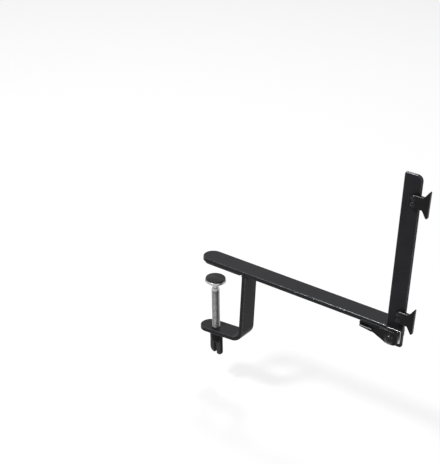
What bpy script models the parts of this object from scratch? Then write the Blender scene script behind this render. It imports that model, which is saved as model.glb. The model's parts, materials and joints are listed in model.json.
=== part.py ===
"""Table tennis net clamp: a screw clamp, an arm and a folding net post.

The origin lies on the table seat (the underside of the jaw pad) on the clamp screw's axis.
+X runs outwards along the arm to the post, +Y along the table edge, +Z up. Units are metres.
"""
import math

import bmesh
import bpy
from mathutils import Matrix, Vector

# Driving dimensions
GAP = 0.0003                # clearance between pieces that touch
BAR_WIDTH = 0.020           # flat steel of the arm and the clamp hook
BAR_HALF = BAR_WIDTH / 2
BAR_THICK = 0.0045
BAR_EDGE = 0.0005           # rounding of the bar's edges
END_RADIUS = BAR_HALF * 0.999   # round ends of the arm and the foot

JAW_PAD_THICK = 0.0012
JAW_PAD_INSET = 0.0025      # from the arm's round end and from the leg
ARM_BOTTOM = JAW_PAD_THICK + GAP
ARM_TOP = ARM_BOTTOM + BAR_THICK
ARM_INNER = -0.0165
ARM_OUTER = 0.1865

EDGE_X = 0.0322             # inner face of the leg, where the table's edge stops
LEG_OUT = EDGE_X + BAR_THICK
LEG_TOP = ARM_BOTTOM - GAP
FOOT_DROP = -0.0712         # underside of the foot at the leg
FOOT_FALL = math.radians(4.0)   # the bend is left four degrees open
FOOT_SLOPE = math.tan(FOOT_FALL)
FOOT_END = ARM_INNER
FOOT_MIDDLE = FOOT_DROP - EDGE_X * FOOT_SLOPE + BAR_THICK / 2   # where the screw's hole is
BEND_INNER = 0.0085
WELD_LEG = 0.0032           # fillet under the arm, outside the leg
SIDE_BEAD = 0.0009          # height of the beads at the leg's two sides

SCREW_RADIUS = 0.0039       # M8
SCREW_BORE = SCREW_RADIUS + GAP
THREAD_PITCH = 0.00125
THREAD_DEPTH = 0.0006
THREAD_TURNS = 36
THREAD_STEPS = 16           # facets in each turn
BALL_RADIUS = 0.0031
BALL_NECK = 0.0023
REST_GRIP = 0.017           # table thickness that the jaw holds at rest
PAD_RADIUS = 0.010
PAD_THICK = 0.0022
PAD_ROOF = 0.0012           # steel left above the ball
PAD_FACE_THICK = 0.0012
PAD_SKIRT = 0.0056          # radius of the socket that is closed round the ball
PAD_TOP = -REST_GRIP - PAD_FACE_THICK - GAP
BALL_Z = PAD_TOP - PAD_ROOF - GAP - BALL_RADIUS

# The screw stands square to the sloping foot, so it leans, and its ball keeps the pad level
LEAN = (
    Matrix.Translation((0, 0, FOOT_MIDDLE)) @ Matrix.Rotation(-FOOT_FALL, 4, "Y")
    @ Matrix.Translation((0, 0, -FOOT_MIDDLE)))
BALL_X = (FOOT_MIDDLE - BALL_Z) * FOOT_SLOPE
BALL_UP = FOOT_MIDDLE + (BALL_Z - FOOT_MIDDLE) / math.cos(FOOT_FALL)   # height before it leans

# Heights of the knob before it leans
KNOB_TOP = -0.0744
KNOB_BOTTOM = -0.0992
KNOB_HUB_RADIUS = 0.0064
KNOB_HUB_BOTTOM = -0.0858
KNOB_FLOOR = 0.0019         # plastic left below the screw's end
KNOB_THICK = 0.0032
KNOB_GAP = 0.0032           # gap between the two prongs
KNOB_SPAN = 0.0174
KNOB_TURN = math.radians(-18)

POST_INNER = EDGE_X + 0.1525   # net posts stand 152.5 mm outside the table
POST_WIDTH = 0.0165
POST_OUTER = POST_INNER + POST_WIDTH
POST_THICK = 0.0030
POST_TOP = 0.1530           # just above the net, whose top is 152.5 mm up
POST_BOTTOM = -0.0087
PLATE_EDGE = 0.0004         # rounding of the plates' edges

PIVOT_X = POST_INNER + POST_WIDTH / 2 + 0.0002
PIVOT_Z = 0.0020
BOLT_RADIUS = 0.0025        # M5
BOLT_BORE = BOLT_RADIUS + GAP
BOLT_HEAD_RADIUS = 0.0042
BOLT_HEAD_THICK = 0.0024
BOLT_CHAMFER = 0.0005

# Layers along Y, from the arm's front edge towards the viewer
ARM_FRONT = -BAR_HALF
LUG_THICK = 0.0040
LUG_BACK = ARM_FRONT + LUG_THICK
LUG_INNER = 0.1630          # end of the lug under the arm
LUG_RADIUS = 0.0063         # its round end, about the pivot
LUG_WELD_LEG = 0.0026
POST_BACK = ARM_FRONT - GAP
POST_FRONT = POST_BACK - POST_THICK
WASHER_THICK = 0.0015
WASHER_WIDTH = 0.0135
WASHER_HEIGHT = 0.0125
WASHER_BACK = POST_FRONT - GAP
WASHER_FRONT = WASHER_BACK - WASHER_THICK
HOOK_THICK = 0.0034
HOOK_BACK = POST_FRONT - GAP
HOOK_FRONT = HOOK_BACK - HOOK_THICK
RIVET_HEAD_THICK = 0.0009
LEVER_BACK = HOOK_FRONT - GAP - RIVET_HEAD_THICK - 2 * GAP
LEVER_THICK = 0.0032
LEVER_FRONT = LEVER_BACK - LEVER_THICK
LEVER_BOSS_FRONT = LEVER_FRONT - 0.0006
LEVER_HUB_BACK = WASHER_FRONT - GAP
BOLT_HEAD_BACK = LEVER_BOSS_FRONT - GAP
SPRING_THICK = 0.0012
SPRING_RADIUS = 0.0043
SPRING_SLIT = 0.0010
SPRING_BACK = LUG_BACK + GAP + SPRING_THICK
NUT_FRONT = SPRING_BACK + GAP
NUT_HEIGHT = 0.0038
NUT_COLLAR = 0.0012         # the locking ring above the hexagon
NUT_COLLAR_RADIUS = 0.0035
NUT_ACROSS_FLATS = 0.008
NUT_BACK = NUT_FRONT + NUT_HEIGHT + NUT_COLLAR
BOLT_END = NUT_BACK + 0.0012

UPPER_HOOK_Z = 0.1317
LOWER_HOOK_Z = 0.0227
TAB_INNER = POST_INNER + 0.0074
TAB_CENTRE = -0.0007        # centre of a hook's tab, below the middle of its fin
TAB_HALF = 0.0057           # half the height of the tab and neck
TAB_RADIUS = 0.0052
FIN_OUTER = POST_OUTER + 0.0098
FIN_HALF = 0.0126           # half the height of the fin
NECK_RADIUS = 0.0014
RIVET_RADIUS = 0.0015
RIVET_BORE = RIVET_RADIUS + GAP
RIVET_HEAD_RADIUS = 0.0024
RIVET_SINK = 0.0011         # depth and flare of the flush tail
RIVET_X = POST_OUTER - 0.0045
RIVET_STEP = 0.0027         # each rivet stands this far above or below the tab's centre

LEVER_TIP = PIVOT_X - 0.0308
LEVER_TOP = PIVOT_Z + 0.0074
LEVER_LOW = PIVOT_Z - 0.0057
LEVER_OUTER = PIVOT_X + 0.0072
LEVER_STEP_X = PIVOT_X - 0.0165   # where the finger lip ends
LEVER_EDGE = 0.0007
LIP_RISE = 0.0014
SCOOP_DEPTH = 0.0012        # finger scoop above the lip
HUB_RADIUS = 0.0058
INSERT_RADIUS = BOLT_BORE + 0.0012

ROUND_STEPS = 32
BALL_STEPS = 8
THROUGH = 0.05              # half length of tools that cut right through


# Scene and collections
for old in list(bpy.data.objects):
    bpy.data.objects.remove(old, do_unlink=True)


def collection(name):
    group = bpy.data.collections.new(name)
    bpy.context.scene.collection.children.link(group)
    return group


PARTS = collection("table_tennis_net_clamp")
CUTTERS = collection("cutters")


def material(name, colour, roughness, metallic):
    made = bpy.data.materials.new(name)
    made.use_nodes = True
    shader = made.node_tree.nodes["Principled BSDF"]
    shader.inputs["Base Color"].default_value = (*colour, 1.0)
    shader.inputs["Roughness"].default_value = roughness
    shader.inputs["Metallic"].default_value = metallic
    return made


BLACK_COAT = material("black_powder_coat", (0.022, 0.022, 0.024), 0.48, 0.0)
BLACK_WELD = material("coated_weld", (0.020, 0.020, 0.021), 0.55, 0.0)
BLACK_PLASTIC = material("black_nylon", (0.018, 0.018, 0.019), 0.42, 0.0)
ZINC = material("zinc_plated_steel", (0.56, 0.56, 0.55), 0.34, 1.0)
BLACK_STEEL = material("blackened_steel", (0.05, 0.05, 0.052), 0.40, 0.8)
BRASS = material("brass_insert", (0.62, 0.46, 0.20), 0.35, 1.0)
RUBBER = material("black_rubber", (0.012, 0.012, 0.012), 0.85, 0.0)


# Modelling helpers
def rounded(corners, step_angle=15):
    """Outline through corners of (x, y, radius), each turned into an arc of its radius."""
    points = []
    for index, (x, y, radius) in enumerate(corners):
        here = Vector((x, y))
        if radius == 0:
            points.append(here)
            continue
        before = (Vector(corners[index - 1][:2]) - here).normalized()
        after = (Vector(corners[(index + 1) % len(corners)][:2]) - here).normalized()
        half = before.angle(after) / 2
        reach = radius / math.tan(half)
        centre = here + (before + after).normalized() * (radius / math.sin(half))
        start = here + before * reach - centre
        turn = -start.angle_signed(here + after * reach - centre)
        steps = max(2, round(abs(math.degrees(turn)) / step_angle))
        for step in range(steps + 1):
            points.append(centre + Matrix.Rotation(turn * step / steps, 2) @ start)
    return points


def link(name, mesh, look=None):
    """Object in the parts collection, or a hidden tool where it has no material."""
    made = bpy.data.objects.new(name, mesh)
    if look is None:
        CUTTERS.objects.link(made)
        made.hide_render = True
        made.display_type = "WIRE"
    else:
        PARTS.objects.link(made)
        mesh.materials.append(look)
    return made


def face_front(made, y=0.0):
    """Turn a piece drawn in the XY plane so that it faces the viewer, with local +Z along -Y."""
    made.rotation_euler = (math.pi / 2, 0, 0)
    made.location.y = y


def slab(name, outline, thickness, look=None):
    """Flat plate of the outline, centred on its own plane, as a welded mesh."""
    curve = bpy.data.curves.new(name, "CURVE")
    curve.dimensions = "2D"
    curve.fill_mode = "BOTH"
    curve.extrude = thickness / 2
    spline = curve.splines.new("POLY")
    spline.points.add(len(outline) - 1)
    for point, (x, y) in zip(spline.points, outline):
        point.co = (x, y, 0, 1)
    spline.use_cyclic_u = True
    drawn = bpy.data.objects.new(name + "_outline", curve)
    CUTTERS.objects.link(drawn)
    view = bpy.context.evaluated_depsgraph_get()
    mesh = bpy.data.meshes.new_from_object(drawn.evaluated_get(view))
    bpy.data.objects.remove(drawn, do_unlink=True)
    body = bmesh.new()
    body.from_mesh(mesh)
    bmesh.ops.remove_doubles(body, verts=body.verts, dist=1e-6)
    bmesh.ops.recalc_face_normals(body, faces=body.faces)
    body.to_mesh(mesh)
    body.free()
    mesh.materials.clear()
    return link(name, mesh, look)


def front_slab(name, outline, y_front, y_back, look=None):
    """Plate whose outline is drawn in X and Z, between two places along Y."""
    made = slab(name, outline, y_back - y_front, look)
    face_front(made, (y_front + y_back) / 2)
    return made


def flat_slab(name, outline, z_low, z_high, look=None):
    """Plate whose outline is drawn in X and Y, between two heights."""
    made = slab(name, outline, z_high - z_low, look)
    made.location.z = (z_low + z_high) / 2
    return made


def turned(name, profile, look=None, steps=ROUND_STEPS):
    """Turned solid round its own Z from (radius, height) points, outer side top to bottom."""
    mesh = bpy.data.meshes.new(name)
    edges = [(index, index + 1) for index in range(len(profile) - 1)]
    mesh.from_pydata([(radius, 0, height) for radius, height in profile], edges, [])
    made = link(name, mesh, look)
    screw = made.modifiers.new("turn", "SCREW")
    screw.steps = steps
    screw.render_steps = steps
    screw.use_merge_vertices = True
    screw.merge_threshold = 1e-6
    screw.use_smooth_shade = True
    return made


def ring(name, inner, outer, low, high, look=None):
    """Turned ring, closed on itself."""
    profile = [(inner, high), (outer, high), (outer, low), (inner, low), (inner, high)]
    return turned(name, profile, look)


def peg(name, radius, low, high, radius_low=None, sides=ROUND_STEPS):
    """Cylinder or cone along its own Z, used as a tool."""
    mesh = bpy.data.meshes.new(name)
    body = bmesh.new()
    bmesh.ops.create_cone(
        body, cap_ends=True, segments=sides, radius1=radius_low or radius, radius2=radius,
        depth=high - low)
    bmesh.ops.translate(body, verts=body.verts, vec=(0, 0, (low + high) / 2))
    body.to_mesh(mesh)
    body.free()
    return link(name, mesh)


def wound_thread(name, top, look):
    """Right-hand thread: one ridge wound down from the top, closed on the axis at both ends."""
    body = bmesh.new()
    last = THREAD_TURNS * THREAD_STEPS
    roots = []
    crests = []
    for step in range(last + THREAD_STEPS + 1):
        angle = -2 * math.pi * step / THREAD_STEPS
        across = Vector((math.cos(angle), math.sin(angle), 0))
        height = Vector((0, 0, top - THREAD_PITCH * step / THREAD_STEPS))
        roots.append(body.verts.new(across * (SCREW_RADIUS - THREAD_DEPTH) + height))
        if step <= last:
            height.z -= THREAD_PITCH / 2
            crests.append(body.verts.new(across * SCREW_RADIUS + height))
    for step in range(last):
        below = step + THREAD_STEPS
        body.faces.new((roots[step], roots[step + 1], crests[step + 1], crests[step]))
        body.faces.new((crests[step], crests[step + 1], roots[below + 1], roots[below]))
    for first, centre_z in ((0, top), (last, roots[-1].co.z)):
        centre = body.verts.new((0, 0, centre_z))
        rim = roots[first:first + THREAD_STEPS + 1] + [crests[first]]
        for index, corner in enumerate(rim):
            body.faces.new((rim[index - 1], corner, centre))
    bmesh.ops.triangulate(body, faces=body.faces)
    bmesh.ops.recalc_face_normals(body, faces=body.faces)
    mesh = bpy.data.meshes.new(name)
    body.to_mesh(mesh)
    body.free()
    return link(name, mesh, look)


def box(name, low, high):
    """Box between two corners, used as a tool."""
    mesh = bpy.data.meshes.new(name)
    body = bmesh.new()
    bmesh.ops.create_cube(body, size=1)
    bmesh.ops.scale(body, vec=Vector(high) - Vector(low), verts=body.verts)
    bmesh.ops.translate(body, verts=body.verts, vec=(Vector(low) + Vector(high)) / 2)
    body.to_mesh(mesh)
    body.free()
    return link(name, mesh)


def combine(made, tool, operation):
    step = made.modifiers.new(operation.lower(), "BOOLEAN")
    step.operation = operation
    step.solver = "EXACT"
    step.object = tool


def round_edges(made, width, segments=2):
    bevel = made.modifiers.new("round_edges", "BEVEL")
    bevel.width = width
    bevel.segments = segments
    bevel.limit_method = "ANGLE"
    bevel.angle_limit = math.radians(40)


def on_pivot(made, turn=0.0):
    """Put a piece drawn round its own Z on the post's pivot axis, facing the viewer."""
    face_viewer = Matrix.Rotation(math.pi / 2, 4, "X") @ Matrix.Rotation(turn, 4, "Z")
    made.matrix_world = Matrix.Translation((PIVOT_X, 0, PIVOT_Z)) @ face_viewer


def pivot_hole(made, name, radius=BOLT_BORE):
    """Bore of the pivot bolt through a piece."""
    tool = peg(name, radius, -THROUGH, THROUGH)
    on_pivot(tool)
    combine(made, tool, "DIFFERENCE")


def at_rivet(made, height):
    """Put a piece drawn round its own Z on a rivet's axis, facing the viewer."""
    face_front(made)
    made.location.x = RIVET_X
    made.location.z = height


def hang(empty_name, place, pieces):
    """Parent pieces to an empty on their joint's axis without moving them."""
    pivot = bpy.data.objects.new(empty_name, None)
    pivot.location = place
    PARTS.objects.link(pivot)
    bpy.context.view_layer.update()
    for piece in pieces:
        piece.parent = pivot
        piece.matrix_parent_inverse = pivot.matrix_world.inverted()


# Clamp: arm, hook, welds and jaw pad
def make_arm():
    corner = 0.0012
    plan = rounded([
        (ARM_INNER, -BAR_HALF, END_RADIUS), (ARM_OUTER, -BAR_HALF, corner),
        (ARM_OUTER, BAR_HALF, corner), (ARM_INNER, BAR_HALF, END_RADIUS)])
    arm = flat_slab("arm_bar", plan, ARM_BOTTOM, ARM_TOP, BLACK_COAT)
    round_edges(arm, BAR_EDGE)


def foot_under(x):
    """Height of the foot's underside, which falls away from the leg."""
    return FOOT_DROP - (EDGE_X - x) * FOOT_SLOPE


def make_hook():
    end = FOOT_END - 0.004      # the round end is cut from a longer foot
    side = rounded([
        (EDGE_X, LEG_TOP, 0), (EDGE_X, foot_under(EDGE_X) + BAR_THICK, BEND_INNER),
        (end, foot_under(end) + BAR_THICK, 0), (end, foot_under(end), 0),
        (LEG_OUT, foot_under(LEG_OUT), BEND_INNER + BAR_THICK), (LEG_OUT, LEG_TOP, 0)], 10)
    hook = front_slab("clamp_hook", side, -BAR_HALF, BAR_HALF, BLACK_COAT)
    round_edges(hook, BAR_EDGE)
    beyond = LEG_OUT + BAR_HALF
    plan = rounded([
        (FOOT_END, -BAR_HALF, END_RADIUS), (beyond, -BAR_HALF - GAP, 0),
        (beyond, BAR_HALF + GAP, 0), (FOOT_END, BAR_HALF, END_RADIUS)])
    combine(hook, flat_slab("foot_plan", plan, KNOB_BOTTOM, THROUGH), "INTERSECT")
    bore = peg("screw_bore", SCREW_BORE, KNOB_BOTTOM, BALL_Z)
    bore.matrix_world = LEAN
    combine(hook, bore, "DIFFERENCE")


def fillet_weld(name, start, end, side, leg):
    """Bulged three-cornered bead, hung in the corner from start to end.

    side points along the upper face, away from the corner.
    """
    run = Vector(end) - Vector(start)
    bulge = 0.75 * leg
    section = rounded([(0, 0, 0), (leg, 0, 0), (bulge, -bulge, 0.25 * leg), (0, -leg, 0)], 22)
    bead = slab(name, section, run.length, BLACK_WELD)
    along = run.normalized()
    turn = Matrix((side, along.cross(Vector(side)), along)).transposed().to_4x4()
    bead.matrix_world = Matrix.Translation((Vector(start) + Vector(end)) / 2) @ turn
    round_edges(bead, PLATE_EDGE)


def side_weld(name, face):
    """Low bead across the seam between the leg and the arm, on the +Y or the -Y side."""
    foot = 0.0011
    crown = 0.0006
    section = rounded([
        (-foot, 0, 0), (-crown, SIDE_BEAD, crown), (crown, SIDE_BEAD, crown), (foot, 0, 0)], 30)
    bead = slab(name, section, BAR_THICK - 2 * GAP, BLACK_WELD)
    turn = Matrix(((0, 0, face), (0, face, 0), (-1, 0, 0))).to_4x4()
    place = ((EDGE_X + LEG_OUT) / 2, face * (BAR_HALF + GAP), (ARM_BOTTOM + LEG_TOP) / 2)
    bead.matrix_world = Matrix.Translation(place) @ turn
    round_edges(bead, GAP)


def make_welds():
    corner_x = LEG_OUT + GAP
    back = (corner_x, BAR_HALF - 0.001, LEG_TOP)
    front = (corner_x, 0.001 - BAR_HALF, LEG_TOP)
    fillet_weld("weld_outer", back, front, (1, 0, 0), WELD_LEG)
    corner_y = LUG_BACK + GAP
    inner = (LUG_INNER + 0.003, corner_y, LEG_TOP)
    outer = (ARM_OUTER - 0.003, corner_y, LEG_TOP)
    fillet_weld("lug_weld", inner, outer, (0, 1, 0), LUG_WELD_LEG)
    side_weld("weld_front", -1)
    side_weld("weld_back", 1)


def make_jaw_pad():
    inner = ARM_INNER + JAW_PAD_INSET
    outer = EDGE_X - JAW_PAD_INSET
    half = BAR_HALF - 0.0012
    round_end = 0.0075
    corner = 0.0015
    plan = rounded([
        (inner, -half, round_end), (outer, -half, corner), (outer, half, corner), (inner, half, round_end)])
    pad = flat_slab("jaw_pad", plan, 0, JAW_PAD_THICK, RUBBER)
    round_edges(pad, GAP)


# Clamp screw with its knob and swivel pad
def arc(radius, centre_z, start, end):
    """Half-plane arc as (radius, height) points, with angles counted from straight up."""
    angles = [start + (end - start) * step / BALL_STEPS for step in range(BALL_STEPS + 1)]
    return [(abs(radius * math.sin(a)), centre_z + radius * math.cos(a)) for a in angles]


def make_screw():
    shoulder = BALL_UP - BALL_RADIUS - 0.0022
    screw = wound_thread("clamp_screw", shoulder, ZINC)
    ball = arc(BALL_RADIUS, BALL_UP, 0, math.pi - math.asin(BALL_NECK / BALL_RADIUS))
    collar = SCREW_RADIUS - THREAD_DEPTH
    sunk = THREAD_PITCH + GAP     # the collar covers where the ridge starts
    thread_end = shoulder - THREAD_PITCH * THREAD_TURNS
    end = KNOB_HUB_BOTTOM + KNOB_FLOOR + GAP
    core = turned("screw_core", ball + [
        (BALL_NECK, shoulder + 0.0008), (collar, shoulder + GAP), (collar, shoulder - sunk),
        (BALL_NECK, shoulder - sunk), (BALL_NECK, thread_end), (SCREW_RADIUS, thread_end),
        (SCREW_RADIUS, end), (0, end)])
    combine(screw, core, "UNION")
    for made in (screw, core):
        made.matrix_world = LEAN
    return screw


def make_pad():
    edge = 0.0005
    plate_low = PAD_TOP - PAD_THICK
    skirt_low = BALL_Z - 0.6 * BALL_RADIUS
    socket = BALL_RADIUS + GAP
    rim = math.acos((skirt_low - BALL_Z) / socket)
    pad = turned("swivel_pad", [
        (0, PAD_TOP), (PAD_RADIUS - edge, PAD_TOP), (PAD_RADIUS, PAD_TOP - edge), (PAD_RADIUS, plate_low),
        (PAD_SKIRT + edge, plate_low - edge), (PAD_SKIRT, skirt_low)] + arc(socket, BALL_Z, rim, 0), ZINC)

    top = -REST_GRIP
    low = top - PAD_FACE_THICK
    side = PAD_RADIUS - edge
    face = turned("pad_face", [
        (0, top), (side - edge, top), (side, top - edge), (side, low), (0, low)], RUBBER)
    pad.location.x = BALL_X
    face.location.x = BALL_X
    return [pad, face]


def make_knob():
    edge = 0.0008
    knob = turned("wing_knob", [
        (0, KNOB_TOP), (KNOB_HUB_RADIUS - edge, KNOB_TOP), (KNOB_HUB_RADIUS, KNOB_TOP - edge),
        (KNOB_HUB_RADIUS - edge, KNOB_HUB_BOTTOM + 2 * edge), (KNOB_HUB_RADIUS - 3 * edge, KNOB_HUB_BOTTOM),
        (0, KNOB_HUB_BOTTOM)], BLACK_PLASTIC, 28)
    knob.matrix_world = LEAN
    inner = KNOB_GAP / 2
    outer = KNOB_SPAN / 2
    prong_top = KNOB_TOP - 0.0028
    for name, side in (("prong_left", -1), ("prong_right", 1)):
        outline = rounded([
            (side * inner, prong_top, 0), (side * inner, KNOB_BOTTOM, 0.0010),
            (side * outer, KNOB_BOTTOM, 0.0045), (side * outer, prong_top, 0.0020)], 18)
        prong = front_slab(name, outline, -KNOB_THICK / 2, KNOB_THICK / 2)
        prong.matrix_world = (
            LEAN @ Matrix.Rotation(KNOB_TURN, 4, "Z") @ Matrix.Rotation(math.pi / 2, 4, "X"))
        round_edges(prong, 0.0008, 3)
        combine(knob, prong, "UNION")
    bore = peg("knob_bore", SCREW_BORE, KNOB_HUB_BOTTOM + KNOB_FLOOR, BALL_Z)
    bore.matrix_world = LEAN
    combine(knob, bore, "DIFFERENCE")
    return knob


# Post pivot: lug, bolt, washers and nut
def make_lug():
    low = PIVOT_Z - LUG_RADIUS
    high = PIVOT_Z + LUG_RADIUS
    outer = PIVOT_X + LUG_RADIUS
    arm_end = ARM_OUTER + GAP
    round_end = LUG_RADIUS * 0.999
    side = rounded([
        (LUG_INNER, LEG_TOP, 0), (LUG_INNER, PIVOT_Z - 0.0030, 0.0020), (PIVOT_X - 0.0070, low, 0.0060),
        (outer, low, round_end), (outer, high, round_end), (arm_end, high, 0.0010), (arm_end, LEG_TOP, 0)])
    lug = front_slab("post_lug", side, ARM_FRONT, LUG_BACK, BLACK_COAT)
    round_edges(lug, PLATE_EDGE)
    pivot_hole(lug, "lug_bore")


def make_bolt():
    """The bolt lies on the pivot axis, so its heights are distances towards the viewer."""
    head_back = -BOLT_HEAD_BACK
    quarter = [math.pi / 2 * step / BALL_STEPS for step in range(BALL_STEPS + 1)]
    head = [(BOLT_HEAD_RADIUS * math.sin(a), head_back + BOLT_HEAD_THICK * math.cos(a)) for a in quarter]
    shank = [
        (BOLT_RADIUS, head_back), (BOLT_RADIUS, BOLT_CHAMFER - BOLT_END),
        (BOLT_RADIUS - BOLT_CHAMFER, -BOLT_END), (0, -BOLT_END)]
    bolt = turned("pivot_bolt", head + shank, BLACK_STEEL, 28)
    on_pivot(bolt)


def make_nut_and_spring():
    spring = ring("spring_washer", BOLT_BORE, SPRING_RADIUS, -SPRING_BACK, -LUG_BACK - GAP, ZINC)
    on_pivot(spring)
    half_slit = SPRING_SLIT / 2
    slit = box("washer_slit", (-half_slit, 0, -THROUGH), (half_slit, 2 * SPRING_RADIUS, THROUGH))
    on_pivot(slit, math.radians(20))
    combine(spring, slit, "DIFFERENCE")

    edge = 0.0005
    nut = turned("lock_nut", [
        (0, -NUT_FRONT), (NUT_COLLAR_RADIUS, -NUT_FRONT), (NUT_COLLAR_RADIUS, edge - NUT_BACK),
        (NUT_COLLAR_RADIUS - edge, -NUT_BACK), (0, -NUT_BACK)], ZINC)
    on_pivot(nut)
    corner = NUT_ACROSS_FLATS / math.sqrt(3)
    hexagon = peg("nut_hexagon", corner, -NUT_FRONT - NUT_HEIGHT, -NUT_FRONT, sides=6)
    on_pivot(hexagon, math.radians(30))
    combine(nut, hexagon, "UNION")
    pivot_hole(nut, "nut_bore")


# Post with its hooks and rivets
def rivet_heights(middle):
    """Heights of the rivets of a hook, by the names of their places."""
    tab = middle + TAB_CENTRE
    return {"top": tab + RIVET_STEP, "bottom": tab - RIVET_STEP}


def rivet_bore(name, height):
    """Tool for a rivet's bore, flared at the post's back for the flush tail."""
    back = -POST_BACK - GAP
    flare = RIVET_SINK + 2 * GAP
    tool = turned(name, [
        (0, THROUGH), (RIVET_BORE, THROUGH), (RIVET_BORE, back + flare),
        (RIVET_BORE + flare, back), (0, back)], steps=16)
    at_rivet(tool, height)
    return tool


def make_post():
    side = rounded([
        (POST_INNER, POST_BOTTOM, 0.0030), (POST_OUTER, POST_BOTTOM, 0.0025),
        (POST_OUTER, POST_TOP, 0.0052), (POST_INNER, POST_TOP, 0.0022)])
    post = front_slab("post_plate", side, POST_FRONT, POST_BACK, BLACK_COAT)
    round_edges(post, PLATE_EDGE)
    pivot_hole(post, "post_bore")
    return post


def make_washer():
    corners = [
        (PIVOT_X + across * WASHER_WIDTH / 2, PIVOT_Z + up * WASHER_HEIGHT / 2, 0.0010)
        for across, up in ((-1, -1), (1, -1), (1, 1), (-1, 1))]
    washer = front_slab("friction_washer", rounded(corners, 30), WASHER_FRONT, WASHER_BACK, ZINC)
    pivot_hole(washer, "washer_bore")
    return washer


def make_cord_hook(name, middle):
    """Tab on the post with a fin outside it, whose two barbs hold the net's cords."""
    neck_low = middle + TAB_CENTRE - TAB_HALF
    neck_high = middle + TAB_CENTRE + TAB_HALF
    fin_low = middle - FIN_HALF
    fin_high = middle + FIN_HALF
    outline = rounded([
        (TAB_INNER, neck_low, TAB_RADIUS), (POST_OUTER + 0.0040, neck_low, NECK_RADIUS),
        (FIN_OUTER - 0.0020, fin_low, 0.0005), (FIN_OUTER - 0.0003, fin_low, 0.0007),
        (FIN_OUTER, fin_high, 0.0006), (POST_OUTER + 0.0046, neck_high, NECK_RADIUS),
        (TAB_INNER, neck_high, TAB_RADIUS)])
    hook = front_slab(name, outline, HOOK_FRONT, HOOK_BACK, BLACK_PLASTIC)
    round_edges(hook, BAR_EDGE)
    return hook


def make_rivet(name, height):
    front = -HOOK_FRONT + GAP
    crown = front + RIVET_HEAD_THICK
    tail = -POST_BACK + 0.0001
    profile = [
        (0, crown), (RIVET_HEAD_RADIUS * 0.55, crown - RIVET_HEAD_THICK * 0.15),
        (RIVET_HEAD_RADIUS * 0.9, crown - RIVET_HEAD_THICK * 0.6), (RIVET_HEAD_RADIUS, front),
        (RIVET_RADIUS, front), (RIVET_RADIUS, tail + RIVET_SINK),
        (RIVET_RADIUS + RIVET_SINK, tail), (0, tail)]
    rivet = turned(name, profile, BLACK_STEEL, 16)
    at_rivet(rivet, height)
    return rivet


# Lock lever with its insert
def make_lever():
    outline = rounded([
        (LEVER_TIP, LEVER_TOP, 0.0022), (LEVER_TIP + 0.0012, LEVER_TOP - 0.0056, 0.0022),
        (LEVER_STEP_X, LEVER_TOP - 0.0072, 0.0150), (PIVOT_X - 0.0030, LEVER_LOW, 0.0080),
        (LEVER_OUTER, LEVER_LOW, 0.0045), (LEVER_OUTER, LEVER_TOP, 0.0040)], 12)
    lever = front_slab("lock_lever", outline, LEVER_FRONT, LEVER_BACK, BLACK_PLASTIC)
    round_edges(lever, LEVER_EDGE)
    scoop = front_slab("finger_scoop", [
        (LEVER_TIP - 0.0010, LEVER_TOP - 0.0042), (LEVER_STEP_X + 0.0006, LEVER_TOP - 0.0044),
        (LEVER_STEP_X + 0.0080, LEVER_TOP + 0.0010), (LEVER_TIP - 0.0010, LEVER_TOP + 0.0010)],
        LEVER_FRONT - LIP_RISE, LEVER_FRONT + SCOOP_DEPTH)
    combine(lever, scoop, "DIFFERENCE")

    boss = -LEVER_BOSS_FRONT
    back = -LEVER_HUB_BACK
    hub = turned("lever_hub", [
        (0, boss), (HUB_RADIUS - 0.0006, boss), (HUB_RADIUS, boss - 0.0016), (HUB_RADIUS, back), (0, back)])
    on_pivot(hub)
    combine(lever, hub, "UNION")

    lip_outline = rounded([
        (LEVER_TIP + 0.0018, LEVER_TOP - 0.0050, 0.0006),
        (LEVER_STEP_X - 0.0005, LEVER_TOP - 0.0066, 0.0006),
        (LEVER_STEP_X + 0.0003, LEVER_TOP - 0.0036, 0.0008),
        (LEVER_TIP + 0.0014, LEVER_TOP - 0.0034, 0.0008)], 30)
    lip = front_slab("finger_lip", lip_outline, LEVER_FRONT - LIP_RISE, LEVER_BACK - LEVER_EDGE)
    round_edges(lip, BAR_EDGE)
    combine(lever, lip, "UNION")
    pivot_hole(lever, "insert_bore", INSERT_RADIUS + GAP)

    insert = ring("lever_insert", BOLT_BORE, INSERT_RADIUS, back, boss, BRASS)
    on_pivot(insert)
    return [lever, insert]


# Assembly
make_arm()
make_hook()
make_welds()
make_jaw_pad()
make_lug()
make_bolt()
make_nut_and_spring()

hang("screw_axis", (0, 0, FOOT_MIDDLE), [make_screw(), make_knob()])
hang("pad_axis", (BALL_X, 0, -REST_GRIP), make_pad())

post_plate = make_post()
post_pieces = [post_plate, make_washer()]
for place, hook_z in (("upper", UPPER_HOOK_Z), ("lower", LOWER_HOOK_Z)):
    cord_hook = make_cord_hook(f"{place}_cord_hook", hook_z)
    post_pieces.append(cord_hook)
    for rivet_end, rivet_z in rivet_heights(hook_z).items():
        rivet_tool = rivet_bore(f"{place}_{rivet_end}_bore", rivet_z)
        combine(post_plate, rivet_tool, "DIFFERENCE")
        combine(cord_hook, rivet_tool, "DIFFERENCE")
        post_pieces.append(make_rivet(f"{place}_hook_rivet_{rivet_end}", rivet_z))
hang("post_pivot", (PIVOT_X, POST_BACK, PIVOT_Z), post_pieces)
hang("lever_pivot", (PIVOT_X, LEVER_BACK, PIVOT_Z), make_lever())
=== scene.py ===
# %% [markdown]
# # A table tennis net clamp, dressed for its picture
#
# The clamp grips an edge from above and below: a flat arm lies on top, a bent bar goes down past it, and a
# screw presses a pad up from underneath. At the arm's outer end stands a folding post with two cord hooks.
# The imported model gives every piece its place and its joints. This lesson puts finer meshes with rolled
# edges over those solids, and gives each one the finish of the real material.

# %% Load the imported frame
import json
import math

import bmesh
import bpy
from mathutils import Matrix, Vector


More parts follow.
